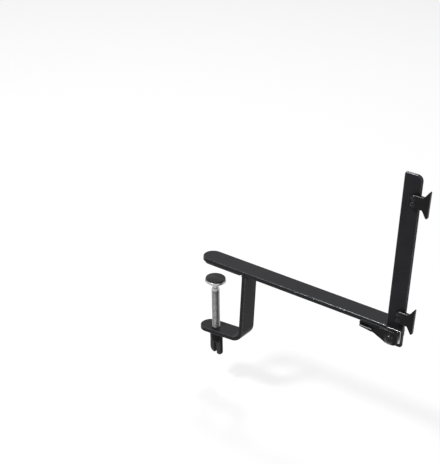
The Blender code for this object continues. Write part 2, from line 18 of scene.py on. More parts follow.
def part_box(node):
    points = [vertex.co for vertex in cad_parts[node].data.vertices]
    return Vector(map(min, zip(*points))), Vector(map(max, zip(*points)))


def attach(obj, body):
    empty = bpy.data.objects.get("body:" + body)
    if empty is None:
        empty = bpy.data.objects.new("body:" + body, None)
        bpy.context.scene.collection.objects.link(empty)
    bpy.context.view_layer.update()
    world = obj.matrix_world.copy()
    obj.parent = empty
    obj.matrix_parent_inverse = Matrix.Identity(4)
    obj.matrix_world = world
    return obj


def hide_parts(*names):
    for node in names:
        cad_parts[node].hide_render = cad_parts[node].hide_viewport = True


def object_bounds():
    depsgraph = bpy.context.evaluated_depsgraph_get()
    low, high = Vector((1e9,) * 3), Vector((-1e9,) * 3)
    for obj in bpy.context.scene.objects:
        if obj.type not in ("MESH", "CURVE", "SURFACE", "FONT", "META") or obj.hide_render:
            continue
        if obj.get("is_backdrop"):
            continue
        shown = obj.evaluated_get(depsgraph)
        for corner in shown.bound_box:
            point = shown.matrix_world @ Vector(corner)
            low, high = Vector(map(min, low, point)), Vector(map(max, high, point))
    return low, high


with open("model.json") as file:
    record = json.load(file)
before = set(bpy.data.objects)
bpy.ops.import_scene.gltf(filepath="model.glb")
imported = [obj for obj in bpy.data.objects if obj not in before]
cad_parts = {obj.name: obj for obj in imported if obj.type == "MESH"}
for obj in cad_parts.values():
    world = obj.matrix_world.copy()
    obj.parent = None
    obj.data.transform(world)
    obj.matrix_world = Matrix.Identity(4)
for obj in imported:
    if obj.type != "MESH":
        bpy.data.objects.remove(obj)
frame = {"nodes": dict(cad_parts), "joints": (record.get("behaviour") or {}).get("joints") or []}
cad_low, cad_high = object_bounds()
joints = {joint["name"]: joint for joint in frame["joints"]}

# %% [markdown]
# ## Camera
#
# A photograph fixes where its camera stood: lines that are level and upright on the object tell the turn,
# and known lengths tell the distance. The angles and the place below were found that way. A long lens
# keeps the perspective as mild as it is in the picture, and a small roll tilts the view as it was held.

# %% Camera at the photograph's angle
PICTURE_HEIGHT = 464
FOCAL_PIXELS = 1200
SENSOR = 36.0
NEAR_CLIP = 0.01
TURN = math.radians(34.043)
RISE = math.radians(26.762)
ROLL = math.radians(2.7005)
EYE = Vector((0.5606, -0.8311, 0.5383))

level = Vector((math.cos(TURN), math.sin(TURN), 0))
back = Vector((math.sin(TURN) * math.cos(RISE), -math.cos(TURN) * math.cos(RISE), math.sin(RISE)))
upright = back.cross(level)
right = math.cos(ROLL) * level + math.sin(ROLL) * upright
above = math.cos(ROLL) * upright - math.sin(ROLL) * level

lens = bpy.data.cameras.new("picture_camera")
lens.sensor_width = SENSOR
lens.lens = FOCAL_PIXELS / PICTURE_HEIGHT * SENSOR
lens.clip_start = NEAR_CLIP
camera = bpy.data.objects.new("picture_camera", lens)
camera.matrix_world = Matrix.Translation(EYE) @ Matrix((right, above, back)).transposed().to_4x4()
bpy.context.scene.collection.objects.link(camera)
bpy.context.scene.camera = camera
print("camera:", round(lens.lens, 1), "mm lens")

# %% [markdown]
# ## Studio
#
# The picture is a packshot: white all round, with soft light from every side. A pale floor and a white
# world give that white, and three softboxes shape the black pieces. The key and the rear one stand where
# the rims mirror them to the camera, so that the edges get clear highlights. Rays that come straight from
# the camera, or that bounce off gloss, see a full white world and a lit paper floor. The rays that light
# the object see a dimmer world, and the floor keeps a soft shadow. It lies as far down as the knob comes
# when the screw is wound out, so that no pose dips into it.

# %% Node and colour helpers
# A colour Mix node's sockets are given by number, because its sockets of other types share their names
SHARE = 0
FIRST = 6
SECOND = 7
MIXED = 2


def srgb(code):
    """Linear colour from an sRGB hex value such as #1A1A1C."""
    values = [int(code[place:place + 2], 16) / 255 for place in (1, 3, 5)]
    linear = [v / 12.92 if v <= 0.04045 else ((v + 0.055) / 1.055) ** 2.4 for v in values]
    return (*linear, 1.0)


def add_node(tree, kind, inputs=None, **settings):
    """Adds a node with its settings. An input takes a value, or the socket that it is linked to."""
    made = tree.nodes.new("ShaderNode" + kind)
    for name, value in settings.items():
        setattr(made, name, value)
    for name, value in (inputs or {}).items():
        if isinstance(value, bpy.types.NodeSocket):
            tree.links.new(value, made.inputs[name])
        else:
            made.inputs[name].default_value = value
    return made


def seen(tree, least, most):
    """Value that is least for rays that light things, and most for rays that show the background."""
    ray = add_node(tree, "LightPath").outputs
    shown = add_node(tree, "Math", {0: ray["Is Camera Ray"], 1: ray["Is Glossy Ray"]}, operation="MAXIMUM")
    shown = add_node(tree, "Math", {0: shown.outputs[0], 1: ray["Is Transmission Ray"]}, operation="MAXIMUM")
    return add_node(tree, "MapRange", {"Value": shown.outputs[0], "To Min": least, "To Max": most}).outputs[0]


# %% World and floor
AMBIENT = 0.27
FLOOR_GAP = 0.0004
FLOOR_SIZE = 12.0
FLOOR_GLOW = 0.72

world = bpy.data.worlds.new("white_studio")
bpy.context.scene.world = world
world.use_nodes = True
sky = world.node_tree
sky.nodes.clear()
dome = add_node(sky, "Background", {"Color": srgb("#FFFFFF"), "Strength": seen(sky, AMBIENT, 1.0)})
add_node(sky, "OutputWorld", {"Surface": dome.outputs[0]})

floor_height = cad_low.z - joints["pad_feed"]["range_m"][1] - FLOOR_GAP
floor_mesh = bpy.data.meshes.new("pale_floor")
floor_shape = bmesh.new()
bmesh.ops.create_grid(floor_shape, x_segments=1, y_segments=1, size=FLOOR_SIZE / 2)
bmesh.ops.translate(floor_shape, verts=floor_shape.verts, vec=(0, 0, floor_height))
floor_shape.to_mesh(floor_mesh)
floor_shape.free()
floor = bpy.data.objects.new("pale_floor", floor_mesh)
bpy.context.scene.collection.objects.link(floor)
paper = bpy.data.materials.new("lit_white_paper")
paper.use_nodes = True
sheet = paper.node_tree
sheet.nodes.clear()
dull = add_node(sheet, "BsdfDiffuse", {"Color": srgb("#F2F2F2")})
lit = add_node(sheet, "Emission", {"Color": srgb("#FFFFFF"), "Strength": 1.0})
both = add_node(sheet, "MixShader", {0: seen(sheet, 0.0, FLOOR_GLOW), 1: dull.outputs[0], 2: lit.outputs[0]})
add_node(sheet, "OutputMaterial", {"Surface": both.outputs[0]})
floor_mesh.materials.append(paper)
floor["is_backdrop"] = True
print("floor at", round(floor_height * 1000, 1), "mm")

# %% Softboxes
# Each has a name, a place from the clamp's middle, a width in metres and its watts
LAMPS = (
    ("key_softbox", (-0.54, -0.80, 1.38), 0.30, 24.0),
    ("right_softbox", (1.4, -0.6, 0.8), 0.4, 2.5),
    ("rear_softbox", (-0.55, 0.80, 1.38), 0.35, 13.0),
)
middle = (cad_low + cad_high) / 2
for name, offset, width, watts in LAMPS:
    lamp = bpy.data.lights.new(name, "AREA")
    lamp.size = width
    lamp.energy = watts
    stand = bpy.data.objects.new(name, lamp)
    aim = Vector(offset).to_track_quat("Z", "Y").to_matrix().to_4x4()
    stand.matrix_world = Matrix.Translation(middle + Vector(offset)) @ aim
    bpy.context.scene.collection.objects.link(stand)
bpy.context.scene.view_settings.view_transform = "Standard"
print("studio:", len(LAMPS), "lamps")

# %% [markdown]
# ## Powder coat
#
# The steel bars are powder coated: dry paint dust is melted to a thick skin. Melting leaves a slightly
# wavy surface, called orange peel, and a satin gloss that wanders a little. On the rolled edges the
# colour is painted a lighter, part metallic grey: partly rubbed wear, partly a painted sheen that
# brightens the rims' highlight lines. A flat black would look like plastic film, so noise textures
# drive the colour, the roughness and the bump. The lighter edges come from an attribute that the rolled
# edges carry.

# %% Powder coat on steel
def waves(millimetres):
    """Noise scale that gives features of about this size, as the frame is in metres."""
    return 1000.0 / millimetres


def new_look(name, **sockets):
    """Material with a Principled shader whose even values are set on its own sockets."""
    look = bpy.data.materials.new(name)
    look.use_nodes = True
    shader = look.node_tree.nodes["Principled BSDF"]
    for socket, value in sockets.items():
        shader.inputs[socket.replace("_", " ")].default_value = value
    return look, look.node_tree, shader


def wire(tree, shader, **sources):
    """Links an output to each of the shader's inputs that is named."""
    for socket, source in sources.items():
        tree.links.new(source, shader.inputs[socket.replace("_", " ")])


def powder_coat():
    # Polyester powder: deep black and satin, IOR about 1.5. Its matting dust swallows most of the mirror-like
    # share, hence the low specular level. The peel is about 2.4 mm wide, drawn deeper than life so that it
    # shows. The rims are painted a lighter, part metallic grey: partly rubbed wear, partly a painted sheen
    # that brightens their highlight lines
    look, tree, shader = new_look("powder_coated_steel", IOR=1.5, Specular_IOR_Level=0.05)
    place = add_node(tree, "TexCoord").outputs["Object"]
    cloud = add_node(tree, "TexNoise", {"Vector": place, "Scale": waves(14), "Detail": 3.0})
    tone = add_node(
        tree, "Mix", {SHARE: cloud.outputs[0], FIRST: srgb("#1D1D1F"), SECOND: srgb("#272729")},
        data_type="RGBA")
    rim_noise = add_node(tree, "TexNoise", {"Vector": place, "Scale": waves(1.3), "Detail": 4.0})
    rim_patches = add_node(
        tree, "MapRange",
        {"Value": rim_noise.outputs[0], "From Min": 0.36, "From Max": 0.64, "To Min": 0.25, "To Max": 0.8})
    edge = add_node(tree, "Attribute", attribute_name="worn_and_sheen").outputs["Fac"]
    worn_and_sheen = add_node(tree, "Math", {0: rim_patches.outputs[0], 1: edge}, operation="MULTIPLY").outputs[0]
    # Rims painted a lighter grey: partly rubbed wear, partly a painted sheen
    colour = add_node(
        tree, "Mix", {SHARE: worn_and_sheen, FIRST: tone.outputs[MIXED], SECOND: srgb("#525356")}, data_type="RGBA")
    satin = add_node(tree, "MapRange", {"Value": cloud.outputs[0], "To Min": 0.38, "To Max": 0.26})
    gloss = add_node(tree, "MapRange", {"Value": edge, "To Min": satin.outputs[0], "To Max": 0.20})
    peel = add_node(tree, "TexNoise", {"Vector": place, "Scale": waves(2.4), "Detail": 1.5})
    skin = add_node(tree, "Bump", {"Height": peel.outputs[0], "Strength": 0.6, "Distance": 0.00006})
    wire(tree, shader, Base_Color=colour.outputs[MIXED], Metallic=worn_and_sheen, Roughness=gloss.outputs[0],
         Normal=skin.outputs[0])
    return look


coat = powder_coat()
print("finish:", coat.name)

# %% [markdown]
# ## Moulded nylon
#
# The knob, the lever and the hooks are injection moulded from black glass-filled nylon. A spark-eroded
# mould leaves a fine, even grain, and the glass fibres make faint grey swirls where the melt flowed. The
# swirls are a stretched noise in the colour, and the grain is a bump.

# %% Moulded glass-filled nylon
def moulded_nylon():
    # Nylon 6 with glass: IOR about 1.53, shinier than the coat, grain about 0.5 mm, drawn a little coarse so
    # that it shows. The eroded skin is half matt, so its specular level is low too
    look, tree, shader = new_look("moulded_nylon", IOR=1.53, Specular_IOR_Level=0.09)
    place = add_node(tree, "TexCoord").outputs["Object"]
    flow = add_node(tree, "Mapping", {"Vector": place, "Scale": (1.0, 1.0, 0.35)})
    swirl = add_node(
        tree, "TexNoise", {"Vector": flow.outputs[0], "Scale": waves(5), "Detail": 5.0, "Distortion": 1.2})
    tone = add_node(
        tree, "Mix", {SHARE: swirl.outputs[0], FIRST: srgb("#0D0D0E"), SECOND: srgb("#18181A")},
        data_type="RGBA")
    # Rims painted faintly lighter: partly rubbed wear, partly a painted sheen
    edge = add_node(tree, "Attribute", attribute_name="worn_and_sheen").outputs["Fac"]
    faint = add_node(tree, "Math", {0: edge, 1: 0.18}, operation="MULTIPLY").outputs[0]
    colour = add_node(
        tree, "Mix", {SHARE: faint, FIRST: tone.outputs[MIXED], SECOND: srgb("#4A4B4D")}, data_type="RGBA")
    gloss = add_node(tree, "MapRange", {"Value": swirl.outputs[0], "To Min": 0.26, "To Max": 0.16})
    grain = add_node(tree, "TexNoise", {"Vector": place, "Scale": waves(0.5), "Detail": 2.0})
    skin = add_node(tree, "Bump", {"Height": grain.outputs[0], "Strength": 0.5, "Distance": 0.00002})
    wire(tree, shader, Base_Color=colour.outputs[MIXED], Roughness=gloss.outputs[0], Normal=skin.outputs[0])
    return look


nylon = moulded_nylon()
print("finish:", nylon.name)

# %% [markdown]
# ## Zinc plate
#
# The screw, its pad, the washers and the nut are plated with zinc and passivated. Plating is bright but not
# a mirror: it is made of fine crystals, so its gloss is mottled, and the passivation tints it faintly blue
# in one place and straw in another. A metal takes its colour from its reflections, so the tint is small.
# The thread's roots are darker: an attribute on them mixes a dark brown-grey into the colour.

# %% Zinc-plated steel
def zinc_plate():
    # Bright zinc: metallic, pale grey, crystal patches about 1.2 mm wide
    look, tree, shader = new_look("zinc_plated_steel", Metallic=1.0, Specular_Tint=srgb("#8C8C8C"))
    place = add_node(tree, "TexCoord").outputs["Object"]
    tint = add_node(tree, "TexNoise", {"Vector": place, "Scale": waves(9), "Detail": 2.0})
    tone = add_node(
        tree, "Mix", {SHARE: tint.outputs[0], FIRST: srgb("#B0B3B8"), SECOND: srgb("#C4C3BE")},
        data_type="RGBA")
    deep = add_node(tree, "Attribute", attribute_name="groove").outputs["Fac"]
    colour = add_node(
        tree, "Mix", {SHARE: deep, FIRST: tone.outputs[MIXED], SECOND: srgb("#3B3936")}, data_type="RGBA")
    crystals = add_node(tree, "TexVoronoi", {"Vector": place, "Scale": waves(1.2)})
    gloss = add_node(tree, "MapRange", {"Value": crystals.outputs[0], "To Min": 0.26, "To Max": 0.44})
    skin = add_node(tree, "Bump", {"Height": crystals.outputs[0], "Strength": 0.25, "Distance": 0.00002})
    wire(tree, shader, Base_Color=colour.outputs[MIXED], Roughness=gloss.outputs[0], Normal=skin.outputs[0])
    return look


zinc = zinc_plate()
print("finish:", zinc.name)

# %% [markdown]
# ## Blackened steel, brass and rubber
#
# The pivot bolt and the rivets are steel with a black oxide, which is dark, half glossy and a little
# brown where it is thin. The lever turns on a brass insert. The jaw and the screw's pad are faced with
# rubber, which is dull, and dusty grey on its high spots. The three differ only in their numbers, so one
# function makes them from a pair of colours, a gloss range and a grain.

# %% Blackened steel, brass and rubber
def grained(name, dark, light, patch_mm, gloss, grain_mm, depth, **sockets):
    """Finish of two near colours in soft patches, with its gloss following them, and a grain."""
    look, tree, shader = new_look(name, **sockets)
    place = add_node(tree, "TexCoord").outputs["Object"]
    patch = add_node(tree, "TexNoise", {"Vector": place, "Scale": waves(patch_mm), "Detail": 4.0})
    colour = add_node(
        tree, "Mix", {SHARE: patch.outputs[0], FIRST: srgb(dark), SECOND: srgb(light)}, data_type="RGBA")
    shine = add_node(tree, "MapRange", {"Value": patch.outputs[0], "To Min": gloss[0], "To Max": gloss[1]})
    grain = add_node(tree, "TexNoise", {"Vector": place, "Scale": waves(grain_mm), "Detail": 3.0})
    skin = add_node(tree, "Bump", {"Height": grain.outputs[0], "Strength": 0.5, "Distance": depth})
    wire(tree, shader, Base_Color=colour.outputs[MIXED], Roughness=shine.outputs[0], Normal=skin.outputs[0])
    return look


# Black oxide on steel: metal under a dark skin, so mostly metallic
oxide = grained(
    "black_oxide_steel", "#212122", "#2E2D2C", patch_mm=3.0, gloss=(0.14, 0.24), grain_mm=0.8, depth=0.00001,
    Metallic=0.8, Specular_IOR_Level=0.35)
# Turned brass: metallic, warm, with dull patches
brass = grained(
    "turned_brass", "#9A7B3C", "#B8964F", patch_mm=4.0, gloss=(0.28, 0.42), grain_mm=0.6, depth=0.00001,
    Metallic=1.0)
# Vulcanised rubber: IOR about 1.52, very rough, with a cloth-like grain from its mould
rubber = grained(
    "vulcanised_rubber", "#0E0E0E", "#1C1B1A", patch_mm=6.0, gloss=(0.78, 0.92), grain_mm=0.7, depth=0.00005,
    IOR=1.52)
print("finishes:", oxide.name, brass.name, rubber.name)

# %% [markdown]
# ## Plates, and how a piece joins the frame
#
# Many of the pieces are plates. A plate starts as a face through its corners: a vertex bevel rounds each
# corner, an extrusion gives the thickness, and an edge bevel rolls the rims, as tumbling or a thick coat
# does. Each finished piece keeps its place in its mesh, rides on a body of the frame, and stands for the
# solid that it covers.

# %% Plate helpers
ARC_MERGE = 0.00002      # points that are closer than this on a rounded outline become one


def round_rims(bm, width, steps=3, least=40):
    """Rolls edges sharper than least degrees, and marks each roll's middle for wear and a painted sheen."""
    worn_and_sheen = bm.verts.layers.float.new("worn_and_sheen")
    bmesh.ops.recalc_face_normals(bm, faces=bm.faces[:])
    sharp = [e for e in bm.edges if e.is_manifold and e.calc_face_angle() > math.radians(least)]
    rolled = set(bmesh.ops.bevel(
        bm, geom=sharp, offset=width, segments=steps, profile=0.5, affect="EDGES", material=-1)["faces"])
    for vert in {vert for face in rolled for vert in face.verts}:
        vert[worn_and_sheen] = float(rolled.issuperset(vert.link_faces))
    return bm


def drawn_out(bm, faces, vector):
    """Extrudes faces along a vector and returns the faces at the far end."""
    edges = list(dict.fromkeys(edge for face in faces for edge in face.edges))
    grown = bmesh.ops.extrude_face_region(bm, geom=faces + edges)["geom"]
    bmesh.ops.translate(bm, verts=[g for g in grown if isinstance(g, bmesh.types.BMVert)], vec=vector)
    return [g for g in grown if isinstance(g, bmesh.types.BMFace)]


def rectangle(low, high, radii):
    """Corners of (x, y, radius), from the low left one to the right and round."""
    places = [(low[0], low[1]), (high[0], low[1]), (high[0], high[1]), (low[0], high[1])]
    return [(x, y, radius) for (x, y), radius in zip(places, radii)]


def plate(corners, low, high, arc_steps=10):
    """Plate between two heights through corners of (x, y, radius), each rounded to its radius."""
    bm = bmesh.new()
    verts = [bm.verts.new((x, y, low)) for x, y, _ in corners]
    bm.faces.new(verts)
    for index, (x, y, radius) in enumerate(corners):
        if radius:
            before = Vector(corners[index - 1][:2]) - Vector((x, y))
            after = Vector(corners[(index + 1) % len(corners)][:2]) - Vector((x, y))
            reach = radius / math.tan(before.angle(after) / 2)
            bmesh.ops.bevel(
                bm, geom=[verts[index]], offset=reach, segments=arc_steps, profile=0.5,
                affect="VERTICES", material=-1)
    bmesh.ops.remove_doubles(bm, verts=bm.verts[:], dist=ARC_MERGE)
    drawn_out(bm, bm.faces[:], (0, 0, high - low))
    return bm


# %% Piece helper
SHARP_ABOVE = math.radians(38)


def piece(name, bm, look, slot, body, *nodes):
    """Turns a bmesh into a finished piece that rides on a body and stands for its solids."""
    mesh = bpy.data.meshes.new(name)
    bm.to_mesh(mesh)
    bm.free()
    mesh.materials.append(look)
    mesh.shade_smooth()
    mesh.set_sharp_from_angle(angle=SHARP_ABOVE)
    made = bpy.data.objects.new(name, mesh)
    bpy.context.scene.collection.objects.link(made)
    even = made.modifiers.new("even_flats", "WEIGHTED_NORMAL")
    even.keep_sharp = True
    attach(made, body)
    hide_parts(*nodes)
    print("piece:", name, len(mesh.polygons), "faces")


# %% [markdown]
# ## Arm
#
# The arm is flat bar, 20 by 4.5 mm, cut off square at the post and rounded where hands meet it. It is one
# plate seen from above. The rolled rim is what a camera sees of black paint: it catches a thin bright
# line all along the edge, which a sharp box would never show.

# %% Arm
BAR_RIM = 0.0009
BAR_CORNER = 0.0012      # at the end that is cut off square
NEAR_ROUND = 0.98        # share of a full round, which leaves the rim's bevel a short straight to end on
arm_low, arm_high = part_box("arm_bar")
bar_half = arm_high.y
hand_end = bar_half * NEAR_ROUND
arm_corners = (hand_end, BAR_CORNER, BAR_CORNER, hand_end)
arm_plan = rectangle((arm_low.x, -bar_half), (arm_high.x, bar_half), arm_corners)
arm = round_rims(plate(arm_plan, arm_low.z, arm_high.z, arc_steps=18), BAR_RIM, steps=4)
piece("coated_arm", arm, coat, "black_powder_coat", "frame", "arm_bar")

# %% [markdown]
# ## Turned shapes and carving
#
# Bolts, cups and drills are round, so each is half its section, spun about an axis. Holes are drilled last,
# with a Boolean, so that the rims stay even. The same Boolean can join shapes to one skin, or keep only
# what two shapes share.

# %% Turning and carving helpers
POLE_MERGE = 0.000001    # joins the points of a spun section that lie on its axis


def turned(profile, steps=64):
    """Solid spun about its own Z from (radius, height) points."""
    bm = bmesh.new()
    verts = [bm.verts.new((radius, 0, height)) for radius, height in profile]
    for upper, lower in zip(verts, verts[1:]):
        bm.edges.new((upper, lower))
    bmesh.ops.spin(
        bm, geom=bm.verts[:] + bm.edges[:], cent=(0, 0, 0), axis=(0, 0, 1), angle=2 * math.pi,
        steps=steps, use_merge=True)
    bmesh.ops.remove_doubles(bm, verts=bm.verts[:], dist=POLE_MERGE)
    bmesh.ops.recalc_face_normals(bm, faces=bm.faces[:])
    return bm


def rod(radius, top, bottom):
    """Half section of a plain round rod."""
    return [(0, top), (radius, top), (radius, bottom), (0, bottom)]


def carve(bm, tool, operation="DIFFERENCE"):
    """Cuts a closed shape with another, joins them or keeps what they share, and returns the result."""
    pair = []
    for shape in (bm, tool):
        mesh = bpy.data.meshes.new("carving")
        shape.to_mesh(mesh)
        shape.free()
        pair.append(bpy.data.objects.new("carving", mesh))
        bpy.context.scene.collection.objects.link(pair[-1])
    cut = pair[0].modifiers.new("carve", "BOOLEAN")
    cut.operation = operation
    cut.solver = "EXACT"
    cut.object = pair[1]
    view = bpy.context.evaluated_depsgraph_get()
    result = bmesh.new()
    result.from_mesh(pair[0].evaluated_get(view).to_mesh())
    for used in pair:
        mesh = used.data
        bpy.data.objects.remove(used, do_unlink=True)
        bpy.data.meshes.remove(mesh)
    return result


# %% [markdown]
# ## Clamp hook
#
# Below the arm, the same bar is bent to a hook: a leg that goes straight down, and a foot that comes back
# under the arm. The mesh is made as the smith makes it. A section is extruded down the leg, spun about the
# bend's centre, and extruded along the foot. The bend stops four degrees short of square, as in the picture.
# The foot's end is rounded by bevelling its two corners, and the screw's hole is drilled square to it.

# %% Sizes of the hook and the screw's axis
BAR_THICK = arm_high.z - arm_low.z
BEND_INNER = 0.0085
FOOT_TOP = -0.0667       # where the foot's upper side would meet the leg
FOOT_FALL = math.radians(4.0)
SCREW_HOLE = 0.0042

hook_low, hook_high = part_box("clamp_hook")
leg_outer = hook_high.x
leg_inner = leg_outer - BAR_THICK
foot_length = (leg_inner - BEND_INNER - hook_low.x) / math.cos(FOOT_FALL) + BEND_INNER * math.tan(FOOT_FALL)
bend = Vector((leg_inner - BEND_INNER, 0, FOOT_TOP))
bend.z += BEND_INNER / math.cos(FOOT_FALL) - BEND_INNER * math.tan(FOOT_FALL)
print("foot:", round(foot_length * 1000, 1), "mm long")

screw_hole = Vector(joints["screw_turn"]["pos_m"])
screw_down = Vector(joints["screw_turn"]["axis"])
lean = Vector((0, 0, -1)).rotation_difference(screw_down).to_matrix().to_4x4()
to_screw = Matrix.Translation(screw_hole) @ lean


def on_screw(bm):
    """Leans a shape drawn about the screw's hole onto the screw's own axis."""
    bmesh.ops.transform(bm, matrix=to_screw, verts=bm.verts[:])
    return bm


# %% Clamp hook
BEND_STEPS = 16
END_STEPS = 20
END_ROUND = 0.999        # share of a full round
END_MERGE = 0.00003
SAME_SIDE = 0.000001     # an edge whose ends differ by less than this in Y runs through the bar's thickness
DRILL_REACH = 0.02

bar = bmesh.new()
section = [
    (leg_inner, -bar_half), (leg_outer, -bar_half), (leg_outer, bar_half), (leg_inner, bar_half)]
start = bar.faces.new([bar.verts.new((x, y, hook_high.z)) for x, y in section])
end = drawn_out(bar, [start], (0, 0, bend.z - hook_high.z))
rim = [edge for face in end for edge in face.edges] + [vert for face in end for vert in face.verts]
bent = bmesh.ops.spin(
    bar, geom=end + rim, cent=bend, axis=(0, 1, 0), angle=math.pi / 2 - FOOT_FALL, steps=BEND_STEPS)
end = [item for item in bent["geom_last"] if isinstance(item, bmesh.types.BMFace)]
away = Vector((-math.cos(FOOT_FALL), 0, -math.sin(FOOT_FALL)))
end = drawn_out(bar, end, away * foot_length)
end_edges = [edge for edge in end[0].edges if abs(edge.verts[0].co.y - edge.verts[1].co.y) < SAME_SIDE]
bmesh.ops.bevel(
    bar, geom=end_edges, offset=bar_half * END_ROUND, segments=END_STEPS, profile=0.5, affect="EDGES",
    material=-1)
bmesh.ops.remove_doubles(bar, verts=bar.verts[:], dist=END_MERGE)
round_rims(bar, BAR_RIM, steps=4)
drill = on_screw(turned(rod(SCREW_HOLE, DRILL_REACH, -DRILL_REACH)))
piece("coated_hook", carve(bar, drill), coat, "black_powder_coat", "frame", "clamp_hook")

# %% [markdown]
# ## Weld beads
#
# The hook and the post's lug are welded under the arm. A hand-laid weld is a row of overlapping puddles,
# so the bead's section swells and shrinks as it goes, and runs out thin at both ends. Each step extrudes the
# section a little and scales it about the corner that it fills. Paint goes over it, so it wears the same
# coat as the bars.

# %% Weld bead helpers
RIPPLE = 0.0014
RIPPLE_STEPS = 6
RIPPLE_DEPTH = 0.10
TIP_SIZE = 0.5
SECTION_STEPS = 6


def bead(start, end, section):
    """Rippled bead from start to end. The section is a list of offsets from the run's own line."""
    bm = bmesh.new()
    run = end - start
    count = max(2, round(run.length / RIPPLE)) * RIPPLE_STEPS
    sizes = []
    for step in range(count + 1):
        ripple = 1 - RIPPLE_DEPTH * abs(math.sin(math.pi * step / RIPPLE_STEPS))
        from_tip = min(step, count - step) / RIPPLE_STEPS
        sizes.append(ripple * min(1, TIP_SIZE + (1 - TIP_SIZE) * math.sqrt(from_tip)))
    tip = [bm.faces.new([bm.verts.new(start + offset * sizes[0]) for offset in section])]
    for step in range(1, count + 1):
        tip = drawn_out(bm, tip, run / count)
        scale = sizes[step] / sizes[step - 1]
        bmesh.ops.scale(
            bm, vec=(scale, scale, scale), verts=tip[0].verts,
            space=Matrix.Translation(-start - run * step / count))
    bmesh.ops.recalc_face_normals(bm, faces=bm.faces[:])
    return bm


def fillet(across, reach):
    """Bulged quarter section that fills the corner under the arm."""
    angles = [math.pi / 2 * step / SECTION_STEPS for step in range(SECTION_STEPS + 1)]
    bulge = [across * (math.cos(a) * reach) - Vector((0, 0, math.sin(a) * reach)) for a in angles]
    return [Vector((0, 0, 0))] + bulge


# %% Weld beads
SEAM_STEPS = 8

outer_low, outer_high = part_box("weld_outer")
reach = outer_high.x - outer_low.x
run_start = Vector((outer_low.x, outer_low.y, outer_high.z))
run_end = Vector((outer_low.x, outer_high.y, outer_high.z))
outer_bead = bead(run_start, run_end, fillet(Vector((1, 0, 0)), reach))
piece("outer_bead", outer_bead, coat, "coated_weld", "frame", "weld_outer")

seam_low, seam_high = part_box("lug_weld")
reach = seam_high.y - seam_low.y
run_start = Vector((seam_low.x, seam_low.y, seam_high.z))
run_end = Vector((seam_high.x, seam_low.y, seam_high.z))
lug_bead = bead(run_start, run_end, fillet(Vector((0, 1, 0)), reach))
piece("lug_bead", lug_bead, coat, "coated_weld", "frame", "lug_weld")

for node, seam in (("weld_front", 1), ("weld_back", -1)):
    bead_low, bead_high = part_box(node)
    seam_y = bead_high.y if seam > 0 else bead_low.y
    seam_z = (bead_low.z + bead_high.z) / 2
    rise = bead_high.y - bead_low.y
    width = (bead_high.z - bead_low.z) / 2
    angles = [math.pi * step / SEAM_STEPS for step in range(SEAM_STEPS + 1)]
    half_round = [Vector((0, -seam * rise * math.sin(a), width * math.cos(a))) for a in angles]
    run_start = Vector((bead_low.x, seam_y, seam_z))
    run_end = Vector((bead_high.x, seam_y, seam_z))
    side_bead = bead(run_start, run_end, half_round)
    piece(node.split("_")[1] + "_bead", side_bead, coat, "coated_weld", "frame", node)

# %% [markdown]
# ## Jaw pad
#
# A strip of rubber is glued under the arm, so that the jaw grips and leaves no mark. It is a thin plate with
# its own round corners. Its rim is rolled only a little, because rubber sheet is stamped and keeps a crisp
# edge.

# %% Jaw pad
JAW_RIM = 0.0003
JAW_CORNERS = (0.0075, 0.0015, 0.0015, 0.0075)    # wide at the arm's round end
pad_low, pad_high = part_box("jaw_pad")
jaw = plate(rectangle(pad_low.xy, pad_high.xy, JAW_CORNERS), pad_low.z, pad_high.z)
piece("rubber_jaw", round_rims(jaw, JAW_RIM, steps=2), rubber, "black_rubber", "frame", "jaw_pad")

# %% [markdown]
# ## Clamp screw
#
# The screw is an M8 with a pitch of 1.25 mm. A thread is one groove that winds round and down, so the
# spin gets a small step along the axis each time, and the section of one pitch becomes a screw. Neighbouring
# turns meet point on point and are merged. A ball is turned on the screw's upper end for the swivel pad.

# %% Thread
PITCH = 0.00125
TURNS = 36
TURN_STEPS = 40
TURN_MERGE = 0.000004    # joins neighbouring turns
CREST = 0.0039
CREST_EASE = 0.0001      # takes the sharpness off the crest
ROOT = 0.0032
ROOT_FLAT = 0.10         # the section's stations are shares of the pitch
FLANK_END = 0.42
CREST_START = 0.46
BALL = 0.0031
BALL_COVER = 0.0015      # from the pad's top to the ball
NECK_RISE = 0.0022       # from the thread to the ball
swivel_low, swivel_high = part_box("swivel_pad")
pad_x = (swivel_low.x + swivel_high.x) / 2
ball_z = swivel_high.z - BALL_COVER - BALL
ball_up = (Vector((pad_x, 0, ball_z)) - screw_hole).length
thread_top = ball_up - BALL - NECK_RISE


def wound(top):
    """Thread round its own Z that winds down from the top, with its grooves marked."""
    bm = bmesh.new()
    rise = [(ROOT, 0), (ROOT, ROOT_FLAT), (CREST - CREST_EASE, FLANK_END), (CREST, CREST_START)]
    one_pitch = rise + [(radius, 1 - share) for radius, share in reversed(rise)]
    points = [bm.verts.new((radius, 0, top - share * PITCH)) for radius, share in one_pitch]
    for upper, lower in zip(points, points[1:]):
        bm.edges.new((upper, lower))
    bmesh.ops.spin(
        bm, geom=bm.verts[:] + bm.edges[:], cent=(0, 0, 0), axis=(0, 0, 1), angle=-2 * math.pi * TURNS,
        dvec=(0, 0, -PITCH / TURN_STEPS), steps=TURNS * TURN_STEPS)
    bmesh.ops.remove_doubles(bm, verts=bm.verts[:], dist=TURN_MERGE)
    bmesh.ops.holes_fill(bm, edges=[edge for edge in bm.edges if edge.is_boundary])
    bmesh.ops.triangulate(bm, faces=[face for face in bm.faces if len(face.verts) > 4])
    bmesh.ops.recalc_face_normals(bm, faces=bm.faces[:])
    groove = bm.verts.layers.float.new("groove")
    for vert in bm.verts:
        vert[groove] = float(vert.co.xy.length < ROOT + CREST_EASE)
    return bm


piece("rolled_thread", on_screw(wound(thread_top)), zinc, "zinc_steel", "screw", "clamp_screw")

